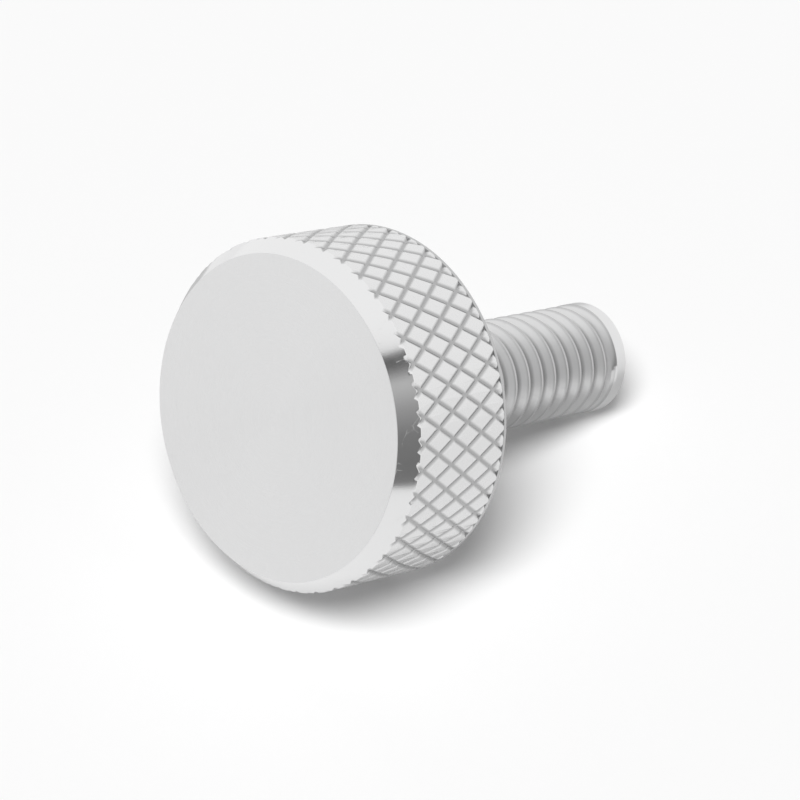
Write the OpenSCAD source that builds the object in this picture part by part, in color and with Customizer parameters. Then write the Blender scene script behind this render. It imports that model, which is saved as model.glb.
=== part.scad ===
// Thumb screw with a flat diamond-knurled head and a threaded stud, in millimetres.
// It lies as it comes to rest on a desk: on the rim under its head and on the edge of its tip.
// The origin is on the desk, under the middle of the screw. The stud points along +X and down.

/* [Head] */
// Diameter over the tops of the knurl's pads
head_d = 12; // [10:0.5:16]
// Thickness of the head, from its outer face to its bearing face
head_t = 5; // [4:0.25:6]
// Radial width of the bevel round the outer face
bevel_w = 0.47; // [0.2:0.01:0.8]
// Length of that bevel along the axis
bevel_l = 0.62; // [0.3:0.01:1]
// Small chamfer round the bearing face
under_chamfer = 0.18; // [0.1:0.02:0.3]
// Width of the plain rim between the knurl and that chamfer
rim_w = 0.12; // [0.06:0.02:0.3]

/* [Knurl] */
// Grooves of each of the two crossing families, counted round the head
knurl_count = 42; // [32:2:48]
// Lean of the grooves from the axis, in degrees
knurl_lean = 33; // [28:1:38]
// Width of a groove between two pads, measured across it
groove_w = 0.26; // [0.15:0.01:0.32]
// Depth of a groove below the pads
groove_depth = 0.07; // [0.05:0.01:0.2]

/* [Stud] */
// Outside diameter of the stud, 4 mm for an M4 hole
stud_d = 4; // [3:0.1:5]
// Length of the stud from the bearing face to its end
stud_len = 11.5; // [8:0.5:16]
// Distance from one thread to the next, 0.7 mm for M4
pitch = 0.7; // [0.6:0.05:0.8]
// Plain length under the head, before the thread starts
neck_len = 1; // [0.8:0.1:2]
// Plain ring that the thread ends at, before the tip's chamfer
land_len = 0.53; // [0.4:0.01:0.8]
// Chamfer at the tip
tip_chamfer = 0.47; // [0.3:0.01:0.5]
// How far the thread's crests lie below the plain lengths
crest_clear = 0.015; // [0.01:0.005:0.03]

/* [Hidden] */
$fn = 96;

head_r = head_d / 2;
stud_r = stud_d / 2;
face_r = head_r - bevel_w;
tip_r = stud_r - tip_chamfer;
rim_z = -under_chamfer - rim_w;
// flats round the face and its bevel, two to each groove, and round the rim that the head lies on
head_sides = 2 * knurl_count;
rim_sides = 360;
// the shoulder where the tip's chamfer starts is what touches the desk
shoulder_z = stud_len - tip_chamfer;
land_z = shoulder_z - land_len;

// the lie on the desk, from the rim at the bearing face's chamfer to the tip's shoulder
lean = atan((head_r - stud_r) / (shoulder_z + under_chamfer));
lift = head_r * cos(lean) - under_chamfer * sin(lean);
back_x = -face_r * sin(lean) - head_t * cos(lean);
front_x = max(tip_r * sin(lean) + stud_len * cos(lean), stud_r * sin(lean) + shoulder_z * cos(lean));

// the knurl as a lattice: family a leans one way, family b the other, and both are counted in grooves
groove_turn = 360 / knurl_count;
groove_apart = 2 * PI * head_r / knurl_count;
row_h = groove_apart / tan(knurl_lean) / 2;
inset = groove_w / 2 / (groove_apart * cos(knurl_lean));
valley_r = head_r - groove_depth;
// rows of pads, enough to run past both ends of the head
first_row = -ceil(head_t / row_h) - 2;
last_row = 2;
rows = last_row - first_row + 1;
nodes = (rows + 2) * knurl_count;
// turns the knurl so that the screw lies on a whole pad
knurl_turn = groove_turn / 2;

// the thread's section: a 60 degree groove with a flat crest and a flat root
crest_r = stud_r - crest_clear;
thread_depth = 0.6134 * pitch;
root_r = crest_r - thread_depth;
crest_w = pitch / 8;
flank_w = thread_depth * tan(30);
root_w = pitch - crest_w - 2 * flank_w;
steps = 24;
// the groove deepens over the first part of a turn and fades over the last
fade = 0.5;
first_turn = -2;
last_turn = ceil((land_z - neck_len) / pitch) + 2;
turns = last_turn - first_turn;
thread_end = (land_z - neck_len) / pitch;

// a point of the knurl, from its place in the two families and its radius
function knurlPoint(a, b, r) =
    let (turn = (a + b) / 2 * groove_turn + knurl_turn)
    [r * cos(turn), r * sin(turn), (b - a) * row_h];

function latticeNode(i, row) = (row - first_row + 1) * knurl_count + (i + knurl_count) % knurl_count;

function padCorner(i, row, k) = nodes + 4 * ((row - first_row) * knurl_count + i) + k;

// how deep the thread's groove is at a turn, from 0 to 1
function grooveShare(t) = max(0, min(1, t / fade, (thread_end - t) / fade));

function threadPoint(j, t, shift, deep) =
    let (turn = t + j / steps, r = crest_r - deep * thread_depth * grooveShare(turn + shift / pitch))
    [r * cos(360 * j / steps), r * sin(360 * j / steps), neck_len + turn * pitch + shift];

// a bar knurled all over, longer than the head
module knurledBar() {
    below = first_row - 1;
    above = last_row + 1;
    lattice = [
        for (row = [below : above], i = [0 : knurl_count - 1])
            knurlPoint(i, i + row, valley_r)
    ];
    pads = [
        for (row = [first_row : last_row], i = [0 : knurl_count - 1], k = [0 : 3])
            let (u = k == 1 || k == 2 ? 1 - inset : inset, v = k > 1 ? 1 - inset : inset)
            knurlPoint(i + u, i + row + v, head_r)
    ];
    ends = [[0, 0, (below - 1) * row_h], [0, 0, (above + 1) * row_h]];
    low_end = len(lattice) + len(pads);
    high_end = low_end + 1;
    tops = [
        for (row = [first_row : last_row], i = [0 : knurl_count - 1])
            let (p = [for (k = [0 : 3]) padCorner(i, row, k)])
            each [[p[0], p[2], p[1]], [p[0], p[3], p[2]]]
    ];
    walls = [
        for (row = [first_row : last_row], i = [0 : knurl_count - 1])
            let (
                p = [for (k = [0 : 3]) padCorner(i, row, k)],
                n = [
                    latticeNode(i, row),
                    latticeNode(i + 1, row - 1),
                    latticeNode(i + 1, row),
                    latticeNode(i, row + 1)
                ]
            )
            for (k = [0 : 3])
                each [[p[k], p[(k + 1) % 4], n[(k + 1) % 4]], [p[k], n[(k + 1) % 4], n[k]]]
    ];
    low_cap = [
        for (i = [0 : knurl_count - 1])
            each [
                [latticeNode(i, first_row), latticeNode(i + 1, below), low_end],
                [latticeNode(i + 1, below), latticeNode(i + 1, first_row), low_end]
            ]
    ];
    high_cap = [
        for (i = [0 : knurl_count - 1])
            each [
                [latticeNode(i, above), latticeNode(i, last_row), high_end],
                [latticeNode(i + 1, last_row), latticeNode(i, above), high_end]
            ]
    ];
    polyhedron(concat(lattice, pads, ends), concat(tops, walls, low_cap, high_cap), convexity = 10);
}

// a turned shape with flat facets, from the radius and height of each of its edges, lowest first
module facetedTurn(edges, sides) {
    points = [
        for (e = edges, i = [0 : sides - 1])
            [e[0] * cos(360 * i / sides), e[0] * sin(360 * i / sides), e[1]]
    ];
    top = len(edges) - 1;
    walls = [
        for (k = [0 : top - 1], i = [0 : sides - 1])
            let (n = (i + 1) % sides)
            [k * sides + i, (k + 1) * sides + i, (k + 1) * sides + n, k * sides + n]
    ];
    low_end = [for (i = [0 : sides - 1]) i];
    high_end = [for (i = [sides - 1 : -1 : 0]) top * sides + i];
    polyhedron(points, concat(walls, [low_end, high_end]), convexity = 4);
}

// the head: a turned blank with its bevel, knurled round its side, and the plain rim with its chamfer
module head() {
    over = 0.5;
    intersection() {
        facetedTurn([
            [face_r, -head_t],
            [head_r + over * bevel_w / bevel_l, -head_t + bevel_l + over],
            [head_r + over, rim_z]
        ], head_sides);
        knurledBar();
    }
    // a core that joins the knurled part to the rim
    translate([0, 0, rim_z - 1])
        cylinder(h = 1 + rim_w, r = stud_r);
    facetedTurn([
        [head_r, rim_z],
        [head_r, -under_chamfer],
        [head_r - under_chamfer, 0]
    ], rim_sides);
}

// a helical thread, run on at both ends into the plain lengths that it joins
module thread() {
    shifts = [0, crest_w, crest_w + flank_w, crest_w + flank_w + root_w];
    last = 4 * turns - 1;
    column = last + 1;
    points = [
        for (j = [0 : steps - 1], t = [first_turn : last_turn - 1], k = [0 : 3])
            threadPoint(j, t, shifts[k], k > 1 ? 1 : 0)
    ];
    ends = [
        [0, 0, neck_len + (first_turn + 0.5) * pitch],
        [0, 0, neck_len + (last_turn + 0.5) * pitch]
    ];
    low_end = len(points);
    high_end = low_end + 1;
    sides = [
        for (j = [0 : steps - 2], i = [0 : last - 1])
            let (a = j * column + i, b = a + column)
            each [[a, a + 1, b + 1], [a, b + 1, b]]
    ];
    // the last column meets the first one a turn further up
    seam = [
        for (i = [0 : last - 5])
            let (a = (steps - 1) * column + i, b = i + 4)
            each [[a, a + 1, b + 1], [a, b + 1, b]]
    ];
    low_loop = [
        each [for (j = [0 : steps - 1]) j * column],
        4, 3, 2, 1
    ];
    high_loop = [
        each [for (j = [0 : steps - 1]) j * column + last],
        each [for (k = [1 : 4]) steps * column - 1 - k]
    ];
    low_cap = [for (k = [0 : len(low_loop) - 1]) [low_loop[k], low_loop[(k + 1) % len(low_loop)], low_end]];
    high_cap = [for (k = [0 : len(high_loop) - 1]) [high_loop[(k + 1) % len(high_loop)], high_loop[k], high_end]];
    intersection() {
        polyhedron(concat(points, ends), concat(sides, seam, low_cap, high_cap), convexity = 10);
        translate([0, 0, -2 * pitch])
            cylinder(h = land_z + land_len / 2 + 2 * pitch, r = stud_r + 1);
    }
}

// the stud: its plain neck, its thread and its plain end with the chamfer
module stud() {
    translate([0, 0, -head_t / 2])
        cylinder(h = neck_len + head_t / 2, r = stud_r);
    thread();
    translate([0, 0, land_z])
        cylinder(h = land_len, r = stud_r);
    translate([0, 0, shoulder_z])
        cylinder(h = tip_chamfer, r1 = stud_r, r2 = tip_r);
}

module thumb_screw() {
    color("#d7dade")
        translate([-(back_x + front_x) / 2, 0, lift])
            rotate([0, 90 + lean, 0])
                union() {
                    head();
                    stud();
                }
}

thumb_screw();
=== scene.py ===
import math

import bpy
import numpy as np
from mathutils import Matrix, Vector


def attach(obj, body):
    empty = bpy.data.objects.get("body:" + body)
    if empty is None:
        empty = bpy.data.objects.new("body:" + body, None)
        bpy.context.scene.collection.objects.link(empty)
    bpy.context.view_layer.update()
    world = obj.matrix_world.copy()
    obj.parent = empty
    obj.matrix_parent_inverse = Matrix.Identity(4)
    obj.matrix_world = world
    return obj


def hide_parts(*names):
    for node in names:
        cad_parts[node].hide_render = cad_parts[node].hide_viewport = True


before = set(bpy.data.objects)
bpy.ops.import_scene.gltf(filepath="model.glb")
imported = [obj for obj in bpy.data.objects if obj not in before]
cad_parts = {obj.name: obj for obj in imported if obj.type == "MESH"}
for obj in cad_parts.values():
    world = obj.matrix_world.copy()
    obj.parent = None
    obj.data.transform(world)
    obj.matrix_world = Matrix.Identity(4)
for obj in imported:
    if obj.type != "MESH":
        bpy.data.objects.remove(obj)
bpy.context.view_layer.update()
print("loaded the packed screw")

mm = 0.001

# The screw is made in millimetres and standing on its own axis: z is 0 at the bearing face,
# with the head below it and the stud above it.
head = {
    "diameter": 12.0,
    "thickness": 5.0,
    "bevelWidth": 0.47,
    "bevelLength": 0.62,
    "underChamfer": 0.18,
    "rim": 0.12,  # the plain rim between the knurl and that chamfer
    "edgeRound": 0.035,  # the small radius that a tumbled and plated edge keeps
    # two rings on the bevel, just inside the ends of the grooves, keep its shading even
    "evenRings": (0.1, 0.085),
    "coreRound": 0.02,
    "coreLength": 1.0,  # how far the rim's core reaches into the knurled part
    "sides": 384,
}
stud = {
    "diameter": 4.0,
    "length": 11.5,
    "pitch": 0.7,
    "flankAngle": 30,
    "neck": 1.0,
    "land": 0.53,  # the plain ring between the thread and the tip's chamfer
    "chamfer": 0.47,
    "crestClear": 0.015,
    "fade": 0.5,  # the part of a turn in which the thread gets its depth, and loses it again
    "tipRound": 0.06,
    "rootLength": 0.8,  # how far the stud reaches into the head
    "columns": 112,
    "sides": 160,
}

headR = head["diameter"] / 2
studR = stud["diameter"] / 2
faceR = headR - head["bevelWidth"]
tipR = studR - stud["chamfer"]
faceZ = -head["thickness"]
bevelZ = faceZ + head["bevelLength"]
rimZ = -head["underChamfer"] - head["rim"]
shoulderZ = stud["length"] - stud["chamfer"]
landZ = shoulderZ - stud["land"]
threadDepth = 0.6134 * stud["pitch"]  # a metric thread's share of its pitch

# how it lies: on the rim under the head and on the shoulder of the tip
lean = math.atan((headR - studR) / (shoulderZ + head["underChamfer"]))
lift = headR * math.cos(lean) - head["underChamfer"] * math.sin(lean)
backX = -faceR * math.sin(lean) - head["thickness"] * math.cos(lean)
frontX = max(
    tipR * math.sin(lean) + stud["length"] * math.cos(lean),
    studR * math.sin(lean) + shoulderZ * math.cos(lean),
)
bearing = Vector((-(backX + frontX) / 2, 0, lift)) * mm
lying = Matrix.Translation(bearing) @ Matrix.Rotation(math.pi / 2 + lean, 4, "Y")


def makeObject(name, points, faces):
    mesh = bpy.data.meshes.new(name)
    mesh.from_pydata([tuple(p) for p in points], [], [tuple(f) for f in faces])
    mesh.validate()
    obj = bpy.data.objects.new(name, mesh)
    bpy.context.scene.collection.objects.link(obj)
    return obj


# a solid turned about Z, from a profile of (radius, z) that starts and ends on the axis
def turned(name, profile, sides):
    inner = profile[1:-1]
    angles = np.linspace(0, 2 * math.pi, sides, endpoint=False)
    points = [(r * math.cos(a), r * math.sin(a), z) for r, z in inner for a in angles]
    low, high = len(points), len(points) + 1
    points += [(0, 0, profile[0][1]), (0, 0, profile[-1][1])]
    last = (len(inner) - 1) * sides
    faces = []
    for k in range(0, last, sides):
        for i in range(sides):
            j = (i + 1) % sides
            faces.append((k + i, k + j, k + sides + j, k + sides + i))
    for i in range(sides):
        j = (i + 1) % sides
        faces.append((j, i, low))
        faces.append((last + i, last + j, high))
    return makeObject(name, points, faces)


# the points of a small arc that takes the place of a profile's corner
def roundedCorner(before, corner, after, radius, steps=4):
    b, c, a = (np.array(p, float) for p in (before, corner, after))
    toB, toA = (b - c) / np.linalg.norm(b - c), (a - c) / np.linalg.norm(a - c)
    half = math.acos(max(-1, min(1, float(toB @ toA)))) / 2
    run = radius / math.tan(half)
    middle = c + (toB + toA) / np.linalg.norm(toB + toA) * radius / math.sin(half)
    start, end = c + toB * run - middle, c + toA * run - middle
    arc = []
    for k in range(steps + 1):
        p = start * (1 - k / steps) + end * (k / steps)
        arc.append(tuple(middle + p / np.linalg.norm(p) * radius))
    return arc


# base with other cut in or joined on, and other used up
def combine(base, other, operation):
    step = base.modifiers.new("combine", "BOOLEAN")
    step.operation = operation
    step.solver = "MANIFOLD"
    step.object = other
    view = bpy.context.evaluated_depsgraph_get()
    made = bpy.data.meshes.new_from_object(base.evaluated_get(view))
    base.modifiers.clear()
    base.data = made
    bpy.data.objects.remove(other)
    return base


# the knurl is two families of grooves, which lean to either side and cross
knurl = {
    "count": 42,
    "lean": 33.0,
    "grooveWidth": 0.26,
    "grooveDepth": 0.07,
    "proud": 0.004,  # the pads start this much too high, and the head's blank trims them
    # across a groove, from 0 in its middle past 1 at its edge: the share of the depth
    "section": ((0.0, 0.93), (0.3, 0.7), (0.8, 0.2), (1.0, 0.055), (1.25, 0.0)),
    "spareRows": 2,  # rows of pads that run past either end of the head
    "cone": 1.0,  # the length of the cone that closes either end of the bar
}


# a bar knurled all over, longer than the head
def knurledBar():
    count = knurl["count"]
    tilt = math.radians(knurl["lean"])
    apart = 2 * math.pi * headR / count
    rowH = apart / math.tan(tilt) / 2
    inset = knurl["grooveWidth"] / 2 / (apart * math.cos(tilt))
    # from the middle of one groove to the middle of the next
    steps = [(x * inset, y) for x, y in knurl["section"]] + [(0.5, 0.0)]
    steps += [(1 - x, y) for x, y in reversed(steps[1:-1])]
    per = len(steps)
    share = np.array([s[0] for s in steps])
    depth = np.array([s[1] for s in steps])
    ring = per * count
    low = -(math.ceil(head["thickness"] / rowH) + knurl["spareRows"]) * per
    high = knurl["spareRows"] * per
    topR = headR + knurl["proud"]
    rows = []
    for d in range(low - 1, high + 2):
        a = np.arange(ring)
        b = a + d
        u = a // per + share[a % per]
        v = b // per + share[b % per]
        deep = np.maximum(depth[a % per], depth[b % per])
        r = topR - (knurl["grooveDepth"] + knurl["proud"]) * deep
        turn = ((u + v) / 2 + 0.5) * 2 * math.pi / count
        rows.append(np.stack([r * np.cos(turn), r * np.sin(turn), (v - u) * rowH], 1))
    points = np.vstack(rows)

    def at(a, d):
        return (d - low + 1) * ring + a % ring

    faces = [
        (at(a, d), at(a + 1, d - 1), at(a + 1, d), at(a, d + 1))
        for d in range(low, high + 1)
        for a in range(ring)
    ]
    lowEnd, highEnd = len(points), len(points) + 1
    z = points[:, 2]
    points = np.vstack([points, [[0, 0, z.min() - knurl["cone"]], [0, 0, z.max() + knurl["cone"]]]])
    for a in range(ring):
        faces.append((at(a + 1, low - 1), at(a, low), lowEnd))
        faces.append((at(a + 1, low), at(a + 1, low - 1), lowEnd))
        faces.append((at(a, high), at(a, high + 1), highEnd))
        faces.append((at(a, high + 1), at(a + 1, high), highEnd))
    return makeObject("knurledBar", points, faces)


# the head as it is turned before it is knurled, up to its plain rim
def headBlank():
    corners = [(0, faceZ), (faceR, faceZ), (headR, bevelZ), (headR, rimZ), (0, rimZ)]
    profile = corners[:1] + roundedCorner(*corners[:3], head["edgeRound"])
    for inside in head["evenRings"]:
        share = 1 - inside / head["bevelWidth"]
        profile.append((faceR + head["bevelWidth"] * share, faceZ + head["bevelLength"] * share))
    profile += roundedCorner(*corners[1:4], head["edgeRound"]) + corners[3:]
    return turned("headBlank", profile, head["sides"])


# the rim at the bearing face, on a core that reaches into the knurled part
def plainRim():
    c = head["underChamfer"]
    core = rimZ - head["coreLength"]
    corners = [
        (0, core),
        (studR, core),
        (studR, rimZ),
        (headR, rimZ),
        (headR, -c),
        (headR - c, 0),
        (0, 0),
    ]
    profile = corners[:3] + roundedCorner(*corners[2:5], head["coreRound"])
    profile += roundedCorner(*corners[3:6], head["edgeRound"])
    profile += roundedCorner(*corners[4:7], head["edgeRound"]) + corners[6:]
    return turned("plainRim", profile, head["sides"])


# a bar with a helical thread, longer than the stud, whose groove fades towards both ends
def threadedBar():
    pitch, neck, columns = stud["pitch"], stud["neck"], stud["columns"]
    crest, flank = pitch / 8, threadDepth * math.tan(math.radians(stud["flankAngle"]))
    root = pitch - crest - 2 * flank
    rootStart = crest + flank
    rootEnd = rootStart + root
    # along one pitch: the place, and the share of the thread's depth there, with rounded corners
    section = [
        (0.0, 0.02),
        (crest * 0.5, 0.0),
        (crest, 0.02),
        (crest + flank * 0.12, 0.1),
        (crest + flank * 0.9, 0.88),
        (rootStart, 0.965),
        (rootStart + root / 2, 1.0),
        (rootEnd, 0.965),
        (rootEnd + flank * 0.1, 0.88),
        (rootEnd + flank * 0.88, 0.1),
    ]
    per = len(section)
    # enough turns to run past both ends of the stud
    lowTurn = -3
    highTurn = math.ceil((shoulderZ - neck) / pitch) + 2
    column = (highTurn - lowTurn) * per
    end = (landZ - neck) / pitch
    points = []
    for j in range(columns):
        a = 2 * math.pi * j / columns
        for t in range(lowTurn, highTurn):
            turn = t + j / columns
            for shift, y in section:
                place = turn + shift / pitch
                share = max(0.0, min(1.0, place / stud["fade"], (end - place) / stud["fade"]))
                share = share * share * (3 - 2 * share)
                r = studR - (stud["crestClear"] + threadDepth * y) * share
                points.append((r * math.cos(a), r * math.sin(a), neck + turn * pitch + shift))
    faces = []
    for j in range(columns):
        # the last column meets the first one a turn further up
        wrap = j == columns - 1
        for i in range(column - 1 - (per if wrap else 0)):
            a = j * column + i
            b = i + per if wrap else a + column
            faces.append((a, b, b + 1, a + 1))
    lowEnd, highEnd = len(points), len(points) + 1
    points.append((0, 0, neck + (lowTurn + 0.5) * pitch))
    points.append((0, 0, neck + (highTurn + 0.5) * pitch))
    lowLoop = [j * column for j in range(columns)] + list(range(per, 0, -1))
    highLoop = [j * column + column - 1 for j in range(columns)]
    highLoop += [columns * column - 1 - k for k in range(1, per + 1)]
    for k in range(len(lowLoop)):
        faces.append((lowLoop[(k + 1) % len(lowLoop)], lowLoop[k], lowEnd))
    for k in range(len(highLoop)):
        faces.append((highLoop[k], highLoop[(k + 1) % len(highLoop)], highEnd))
    return makeObject("threadedBar", points, faces)


# what the threaded bar is trimmed to: wider than the thread, with the tip's chamfer
def studBlank():
    spare = 0.25
    wide = studR + spare
    low = -stud["rootLength"]
    tip = [(wide, shoulderZ - spare), (tipR, stud["length"]), (0, stud["length"])]
    profile = [(0, low), (wide, low), tip[0]] + roundedCorner(*tip, stud["tipRound"]) + tip[2:]
    return turned("studBlank", profile, stud["sides"])


screw = combine(knurledBar(), headBlank(), "INTERSECT")
screw = combine(screw, plainRim(), "UNION")
print("knurled the head:", len(screw.data.polygons), "faces")
shank = combine(threadedBar(), studBlank(), "INTERSECT")
print("threaded the stud:", len(shank.data.polygons), "faces")
screw = combine(screw, shank, "UNION")
screw.name = screw.data.name = "thumbScrew"
print("joined them:", len(screw.data.polygons), "faces")

shading = {
    "hair": 0.01,  # how near to an end of the knurl or the stud a point counts as plain
    "shallow": 0.004,  # the depth below which a point counts as plain
    "side": 0.3,  # the grooves are within this of the head's side
    "face": 0.2,  # and further than this from its face
    "sharpAngle": 33,
    "faceArea": 60,  # how much a large face counts in the shading of the points that it shares
}


# marks how deep each point lies below the turned surface, lays the screw down and shades it
def finishMesh(obj):
    mesh = obj.data
    count = len(mesh.vertices)
    flat = np.zeros(count * 3)
    mesh.vertices.foreach_get("co", flat)
    co = flat.reshape(-1, 3)
    r, z = np.hypot(co[:, 0], co[:, 1]), co[:, 2]
    # the turned surface is the bevel near the face, and the head's side further on
    slope = head["bevelWidth"] / head["bevelLength"]
    surfaceR = np.minimum(headR, faceR + (z - faceZ) * slope)
    onKnurl = (z > faceZ + shading["face"]) & (z < rimZ - shading["hair"])
    onKnurl = onKnurl & (r > headR - shading["side"])
    onStud = (z > shading["hair"]) & (z <= shoulderZ - shading["hair"])
    depth = np.zeros(count)
    depth[onKnurl] = (surfaceR - r - shading["shallow"])[onKnurl] / knurl["grooveDepth"]
    depth[onStud] = (studR - r - stud["crestClear"])[onStud] / threadDepth
    mark = mesh.attributes.new("grooveDepth", "FLOAT", "POINT")
    mark.data.foreach_set("value", np.clip(depth, 0, 1))
    # the upright screw's own millimetres, for what the metal's look needs of radius and length
    place = mesh.attributes.new("turnedPlace", "FLOAT_VECTOR", "POINT")
    place.data.foreach_set("vector", co.ravel())
    turn, shift = np.array(lying.to_3x3()), np.array(lying.translation)
    mesh.vertices.foreach_set("co", (co * mm @ turn.T + shift).ravel())
    mesh.shade_smooth()
    mesh.set_sharp_from_angle(angle=math.radians(shading["sharpAngle"]))
    mesh.update()
    weighted = obj.modifiers.new("weighted", "WEIGHTED_NORMAL")
    weighted.mode = "FACE_AREA"
    weighted.weight = shading["faceArea"]
    weighted.keep_sharp = True


finishMesh(screw)
print("shaded the screw")


# a socket that value maths can be written with
class Wire:
    def __init__(self, tree, socket):
        self.tree = tree
        self.socket = socket

    def maths(self, operation, first, second=None):
        node = self.tree.nodes.new("ShaderNodeMath")
        node.operation = operation
        for slot, value in zip(node.inputs, (first, second)):
            if isinstance(value, Wire):
                self.tree.links.new(value.socket, slot)
            elif value is not None:
                slot.default_value = value
        return Wire(self.tree, node.outputs[0])

    def __add__(self, other):
        return self.maths("ADD", self, other)

    def __radd__(self, other):
        return self.maths("ADD", other, self)

    def __sub__(self, other):
        return self.maths("SUBTRACT", self, other)

    def __rsub__(self, other):
        return self.maths("SUBTRACT", other, self)

    def __mul__(self, other):
        return self.maths("MULTIPLY", self, other)

    def __rmul__(self, other):
        return self.maths("MULTIPLY", other, self)

    def __abs__(self):
        return self.maths("ABSOLUTE", self)

    def squareRoot(self):
        return self.maths("SQRT", self)

    def above(self, limit):
        return self.maths("GREATER_THAN", self, limit)

    def below(self, limit):
        return self.maths("LESS_THAN", self, limit)

    def least(self, other):
        return self.maths("MINIMUM", self, other)

    def most(self, other):
        return self.maths("MAXIMUM", self, other)


# a node tree and the one way to add any node to it; in0, in1 and so on are sockets by number
class Board:
    def __init__(self, tree):
        self.tree = tree
        tree.nodes.clear()

    def node(self, kind, settings=None, **inputs):
        made = self.tree.nodes.new(kind)
        for key, value in (settings or {}).items():
            if key == "stops":
                self.setStops(made.color_ramp, value)
            else:
                setattr(made, key, value)
        for key, value in inputs.items():
            name = key.replace("_", " ")
            numbered = name.startswith("in") and name[2:].isdigit()
            slot = made.inputs[int(name[2:])] if numbered else made.inputs[name]
            if isinstance(value, Wire):
                self.tree.links.new(value.socket, slot)
            elif isinstance(value, bpy.types.NodeSocket):
                self.tree.links.new(value, slot)
            else:
                slot.default_value = value
        return made

    def setStops(self, ramp, stops):
        while len(ramp.elements) > 1:
            ramp.elements.remove(ramp.elements[-1])
        for k, (place, shade) in enumerate(stops):
            stop = ramp.elements[0] if k == 0 else ramp.elements.new(place)
            stop.position = place
            stop.color = (shade, shade, shade, 1)

    def wire(self, node, output=0):
        return Wire(self.tree, node.outputs[output])

    def noise(self, place, scale, detail, roughness):
        sockets = {"Vector": place, "Scale": scale, "Detail": detail, "Roughness": roughness}
        return self.wire(self.node("ShaderNodeTexNoise", None, **sockets))

    # 0 below low and 1 above high, with a smooth rise between them
    def grade(self, value, low, high):
        settings = {"interpolation_type": "SMOOTHSTEP"}
        sockets = {"Value": value, "From Min": low, "From Max": high}
        return self.wire(self.node("ShaderNodeMapRange", settings, **sockets))

    # how far a place lies in a direction
    def along(self, place, direction):
        settings = {"operation": "DOT_PRODUCT"}
        return self.wire(self.node("ShaderNodeVectorMath", settings, in0=place, in1=direction), 1)

    def mixColour(self, share, first, second):
        settings = {"data_type": "RGBA"}
        return self.node("ShaderNodeMix", settings, in0=share, in6=first, in7=second).outputs[2]

    def mixShader(self, share, first, second):
        return self.node("ShaderNodeMixShader", None, Fac=share, in1=first, in2=second).outputs[0]


# the plated metal; a noise is its scale to a millimetre, its detail and its roughness
metal = {
    "colour": (0.74, 0.74, 0.742, 1),
    "bevelColour": (0.785, 0.785, 0.787, 1),
    # the colour of the painted shade in the knurl's grooves and the thread's roots and crests,
    # which the whole thread and the rim are also darkened towards
    "grooveColour": (0.42, 0.42, 0.422, 1),
    "grooveShade": 1.6,  # how fast a groove of the knurl takes on its painted shade with its depth
    "threadDarkened": 0.14,  # how far the whole thread is darkened towards that colour
    "rootShade": 0.95,  # and how much further its root is, as painted shade
    "rootFrom": 0.5,  # the share of the depth at which the root's painted shade starts
    "rootRise": 3.6,  # and how fast it does
    # painted shade on the thread's crest, which takes off its highlight
    "crestShade": 0.6,
    "crestFall": 6,  # how fast the crest's painted shade goes as the depth grows
    # the plain rim is darker
    "rimDarkened": 0.75,
    "evenShade": 0.8,  # the part of all that painted shade and darkening that is even
    "speckledShade": 0.4,  # and the part that follows the fine grain
    "faceRoughness": 0.30,
    "bevelRoughness": 0.13,
    "knurlRoughness": 0.27,
    "threadRoughness": 0.3,
    "grain": (2.1, 5.0, 0.6),  # cloudy patches
    "grainRoughness": 0.08,
    "fineGrain": (26.0, 3.0, 0.5),
    "fineBump": 0.004,
    "turningMarks": (34.0, 4.0, 0.62),
    "markRoughness": 0.16,
    "markBump": 0.03,
    "scratchScale": 1.3,
    "scratchWidth": 0.006,
    "scratchPatch": 0.56,  # scratches show only where the grain is above this
    "scratchRoughness": 0.12,
    "scratchBump": 0.005,
    "bumpStrength": 0.35,
    "bumpDistance": 0.0004,
}
# how far past its own edge each surface is looked for, in millimetres
reach = {
    "face": 0.006,
    "bevel": 0.02,
    "bevelGroove": 0.5,  # what lies deeper than this, as a share of a groove, is no bevel
    "stud": 0.005,
    "thread": 0.02,
    "rim": 0.004,
    "rimEnd": -0.03,
    "rimSide": 0.2,
}


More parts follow.
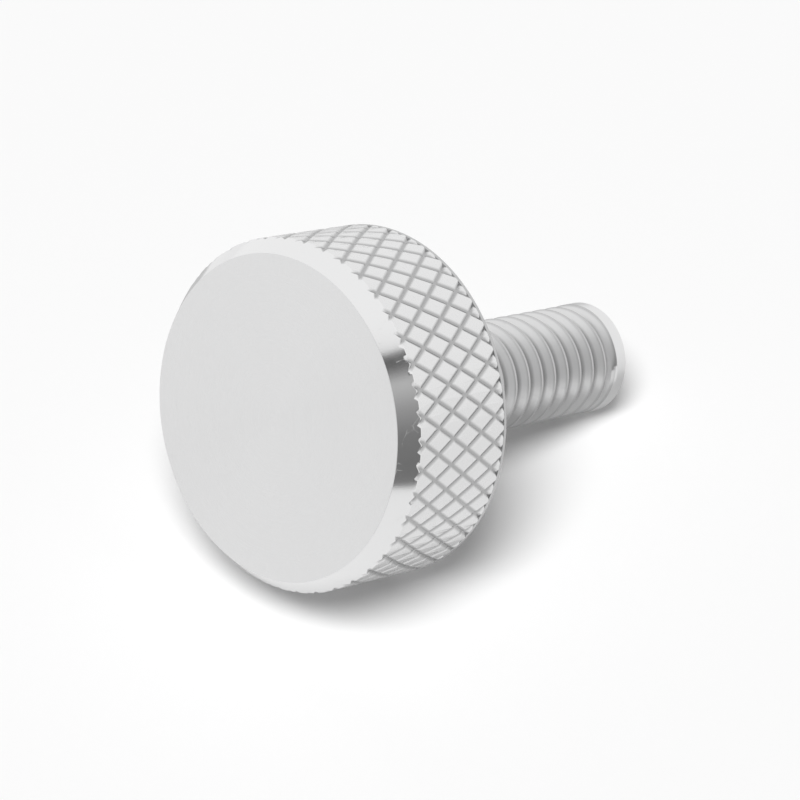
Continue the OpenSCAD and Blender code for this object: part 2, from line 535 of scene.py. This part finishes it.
def brightMetal():
    material = bpy.data.materials.new("brightMetal")
    material.use_nodes = True
    board = Board(material.node_tree)
    place = board.node("ShaderNodeAttribute", {"attribute_name": "turnedPlace"}).outputs["Vector"]
    parts = board.node("ShaderNodeSeparateXYZ", None, Vector=place)
    x, y, z = (board.wire(parts, k) for k in range(3))
    radius = (x * x + y * y).squareRoot()
    depth = board.wire(board.node("ShaderNodeAttribute", {"attribute_name": "grooveDepth"}), "Fac")

    # which surface a point is on
    onFace = z.below(faceZ + reach["face"])
    onBevel = z.below(bevelZ + reach["bevel"]) * radius.above(faceR - reach["bevel"])
    onBevel = onBevel * (1 - onFace) * depth.below(reach["bevelGroove"])
    onStud = z.above(reach["stud"])
    onThread = z.above(stud["neck"]) * z.below(landZ + reach["thread"])
    onRim = z.above(rimZ - reach["rim"]) * z.below(reach["rimEnd"])
    onRim = onRim * radius.above(headR - reach["rimSide"])

    grain = board.noise(place, *metal["grain"])
    fine = board.noise(place, *metal["fineGrain"])
    # turning leaves fine rings, which change with the radius alone
    scale, detail, roughness = metal["turningMarks"]
    sockets = {"W": radius * scale, "Detail": detail, "Roughness": roughness}
    marks = board.wire(board.node("ShaderNodeTexNoise", {"noise_dimensions": "1D"}, **sockets))
    # handling leaves a few hairline scratches
    sockets = {"Vector": place, "Scale": metal["scratchScale"]}
    cells = board.node("ShaderNodeTexVoronoi", {"feature": "DISTANCE_TO_EDGE"}, **sockets)
    scratch = board.wire(cells).below(metal["scratchWidth"]) * grain.above(metal["scratchPatch"])

    rough = (
        onFace * metal["faceRoughness"]
        + onBevel * metal["bevelRoughness"]
        + onStud * metal["threadRoughness"]
        + (1 - onFace) * (1 - onBevel) * (1 - onStud) * metal["knurlRoughness"]
        + (grain - 0.5) * metal["grainRoughness"]
        + (marks - 0.5) * metal["markRoughness"] * onFace
        + scratch * metal["scratchRoughness"]
    )

    # painted shade in the knurl's grooves and the thread's roots, by depth, and on the thread's
    # crests, where it takes off their highlight; the whole thread and the plain rim are darker as
    # well
    root = ((depth - metal["rootFrom"]) * metal["rootRise"]).most(0.0).least(1.0)
    crest = (1 - depth * metal["crestFall"]).most(0.0)
    thread = root * metal["rootShade"] + crest * metal["crestShade"] + metal["threadDarkened"]
    shadeAndDarkening = (depth * metal["grooveShade"]).least(1.0) * (1 - onStud)
    shadeAndDarkening = (shadeAndDarkening + onThread * thread).most(onRim * metal["rimDarkened"])
    shadeAndDarkening = (shadeAndDarkening * (metal["evenShade"] + fine * metal["speckledShade"])).least(1.0)
    undarkenedColour = board.mixColour(onBevel, metal["colour"], metal["bevelColour"])

    height = (
        marks * metal["markBump"] * onFace
        + (fine - 0.5) * metal["fineBump"]
        - scratch * metal["scratchBump"]
    )
    strength, distance = metal["bumpStrength"], metal["bumpDistance"]
    bump = board.node("ShaderNodeBump", None, Strength=strength, Distance=distance, Height=height)
    shader = board.node(
        "ShaderNodeBsdfPrincipled",
        None,
        Base_Color=board.mixColour(shadeAndDarkening, undarkenedColour, metal["grooveColour"]),
        Metallic=1.0,
        Roughness=rough,
        Normal=bump.outputs[0],
    )
    board.node("ShaderNodeOutputMaterial", None, Surface=shader.outputs[0])
    return material


screw.data.materials.clear()  # joining left an empty slot
screw.data.materials.append(brightMetal())
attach(screw, "root")
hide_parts("thumb_screw")
print("plated the screw")


# the direction that an azimuth and an elevation in degrees point in
def heading(azimuth, elevation=0):
    az, el = math.radians(azimuth), math.radians(elevation)
    return math.sin(az) * math.cos(el), -math.cos(az) * math.cos(el), math.sin(el)


def cosine(degrees):
    return math.cos(math.radians(degrees))


# the pale floor; a pair is where a shade starts and where it is full, in metres or degrees
paleFloor = {
    "size": 2.0,
    "colour": 0.951,
    "glow": 0.1,  # the share of its look that is its own pale glow, which no shadow reaches
    "mirroredGlow": 0.5,  # the same as the metal sees it
    "grey": 0.38,  # painted shade on the floor that only the metal's reflections show: a greyer stretch in front of the stud
    "greyX": (-0.0095, -0.007),
    "greyY": (-0.0066, -0.0052),
    "greyEnd": 0.03,
    "dark": 0.8,  # and a darker stretch further off, below the dark flag, also painted shade for the reflections alone
    "darkAzimuth": -26,
    "darkStart": (0.042, 0.055),
    "darkAngle": (26, 16),
}


def makeFloor():
    size = paleFloor["size"]
    corners = [(-size, -size, 0), (size, -size, 0), (size, size, 0), (-size, size, 0)]
    floor = makeObject("floor", corners, [(0, 1, 2, 3)])
    material = bpy.data.materials.new("paleFloor")
    material.use_nodes = True
    board = Board(material.node_tree)
    ray = board.node("ShaderNodeLightPath")
    seen, mirrored = board.wire(ray, "Is Camera Ray"), board.wire(ray, "Is Glossy Ray")
    glowing = seen * paleFloor["glow"] + mirrored * paleFloor["mirroredGlow"]
    matt = board.node("ShaderNodeBsdfDiffuse", None, Color=(paleFloor["colour"],) * 3 + (1,))
    glow = board.node("ShaderNodeEmission", None, Color=(1, 1, 1, 1), Strength=1.0)
    pale = board.mixShader(glowing, matt.outputs[0], glow.outputs[0])

    place = board.node("ShaderNodeNewGeometry").outputs["Position"]
    parts = board.node("ShaderNodeSeparateXYZ", None, Vector=place)
    x, y = board.wire(parts, 0), board.wire(parts, 1)
    # painted shade on the floor, seen only in the metal's reflections, which darkens what the metal
    # mirrors there
    grey = board.grade(x, *paleFloor["greyX"]) * board.grade(y, *paleFloor["greyY"])
    grey = grey * x.below(paleFloor["greyEnd"]) * y.below(paleFloor["greyEnd"])
    ahead = heading(paleFloor["darkAzimuth"])
    way = board.node("ShaderNodeVectorMath", {"operation": "NORMALIZE"}, in0=place).outputs[0]
    outer, inner = (cosine(angle) for angle in paleFloor["darkAngle"])
    dark = board.grade(board.along(way, ahead), outer, inner)
    dark = dark * board.grade(board.along(place, ahead), *paleFloor["darkStart"])
    shade = (dark * paleFloor["dark"]).most(grey * paleFloor["grey"]) * mirrored
    unlit = board.node("ShaderNodeEmission", None, Color=(0, 0, 0, 1), Strength=0.0)
    shown = board.mixShader(shade, pale, unlit.outputs[0])
    board.node("ShaderNodeOutputMaterial", None, Surface=shown)
    floor.data.materials.append(material)


# the room is plain to the camera, and has a dark flag and a greyer side for the metal to mirror
room = {
    "background": 0.956,
    "dome": 0.11,  # what the room adds to the floor's light
    "mirrored": 1.05,
    "flagAzimuth": -23,
    "flagEdge": (0.2, 0.3),  # sideways from its middle, for a ray of length 1
    # how dark the flag is, by how high a ray of length 1 reaches; its top edge is sharp
    "flagStops": (
        (0.0, 0.82),
        (0.3, 0.79),
        (0.52, 0.65),
        (0.7, 0.44),
        (0.8, 0.86),
        (0.858, 0.9),
        (0.885, 0.05),
        (1.0, 0.0),
    ),
    "grey": 0.45,
    "greySide": (-48, 12),  # its azimuth and elevation
    "greyAngle": 65,
}


def makeWorld():
    world = bpy.data.worlds.new("studio")
    bpy.context.scene.world = world
    world.use_nodes = True
    board = Board(world.node_tree)

    def sky(shade, strength):
        colour = (shade, shade, shade, 1)
        return board.node("ShaderNodeBackground", None, Color=colour, Strength=strength).outputs[0]

    place = board.node("ShaderNodeTexCoord").outputs["Generated"]
    ray = board.node("ShaderNodeLightPath").outputs
    height = board.wire(board.node("ShaderNodeSeparateXYZ", None, Vector=place), 2)
    ahead = heading(room["flagAzimuth"])
    across = board.along(place, (-ahead[1], ahead[0], 0))
    strip = 1 - board.grade(abs(across), *room["flagEdge"])
    strip = strip * board.along(place, ahead).above(0.0)
    flag = board.wire(board.node("ShaderNodeValToRGB", {"stops": room["flagStops"]}, Fac=height))
    towards = board.along(place, heading(*room["greySide"]))
    grey = board.grade(towards, cosine(room["greyAngle"]), 1.0)
    shade = (strip * flag).most(grey * room["grey"])
    mirrored = board.mixShader(shade, sky(1, room["mirrored"]), sky(0, 0.0))
    lit = board.mixShader(ray["Is Glossy Ray"], sky(1, room["dome"]), mirrored)
    shown = board.mixShader(ray["Is Camera Ray"], lit, sky(1, room["background"]))
    board.node("ShaderNodeOutputWorld", None, Surface=shown)


# one soft lamp from above the camera, as far off as a sun so that the whole floor is lit evenly
lamp = {
    "azimuth": -56,
    "elevation": 58,
    "width": 28,  # degrees across, for a soft edge to the shadow
    "light": 3.3,
}


def makeLamp():
    light = bpy.data.lights.new("softLamp", "SUN")
    light.angle = math.radians(lamp["width"])
    light.energy = lamp["light"]
    obj = bpy.data.objects.new("softLamp", light)
    bpy.context.scene.collection.objects.link(obj)
    away = -Vector(heading(lamp["azimuth"], lamp["elevation"]))
    obj.rotation_mode = "QUATERNION"
    obj.rotation_quaternion = away.to_track_quat("-Z", "Y")
    obj.visible_glossy = False  # the metal mirrors the room and not the lamp


makeFloor()
makeWorld()
makeLamp()
print("lit the floor")

# the camera, where the photograph was taken from
camera = {
    "azimuth": -44.17,
    "elevation": 37.79,
    "focal": 3526.0,  # in pixels of a picture as wide as this one
    "pictureWidth": 800,
    "aim": (-4.158, -0.618, -117.1),  # the middle of the face as the camera sees it, in mm
    "sensor": 36,
    "clip": (0.01, 20),
}


def makeCamera():
    back = Vector(heading(camera["azimuth"], camera["elevation"]))
    turn = math.radians(camera["azimuth"])
    right = Vector((math.cos(turn), math.sin(turn), 0))
    up = back.cross(right)
    data = bpy.data.cameras.new("camera")
    data.sensor_width = camera["sensor"]
    data.lens = camera["sensor"] * camera["focal"] / camera["pictureWidth"]
    data.clip_start, data.clip_end = camera["clip"]
    obj = bpy.data.objects.new("camera", data)
    bpy.context.scene.collection.objects.link(obj)
    obj.matrix_world = Matrix((right, up, back)).transposed().to_4x4()
    faceMiddle = lying @ Vector((0, 0, faceZ * mm))
    x, y, z = (v * mm for v in camera["aim"])
    obj.location = faceMiddle - right * x - up * y - back * z
    bpy.context.scene.camera = obj


makeCamera()
bpy.context.scene.view_settings.view_transform = "Standard"
print("placed the camera")
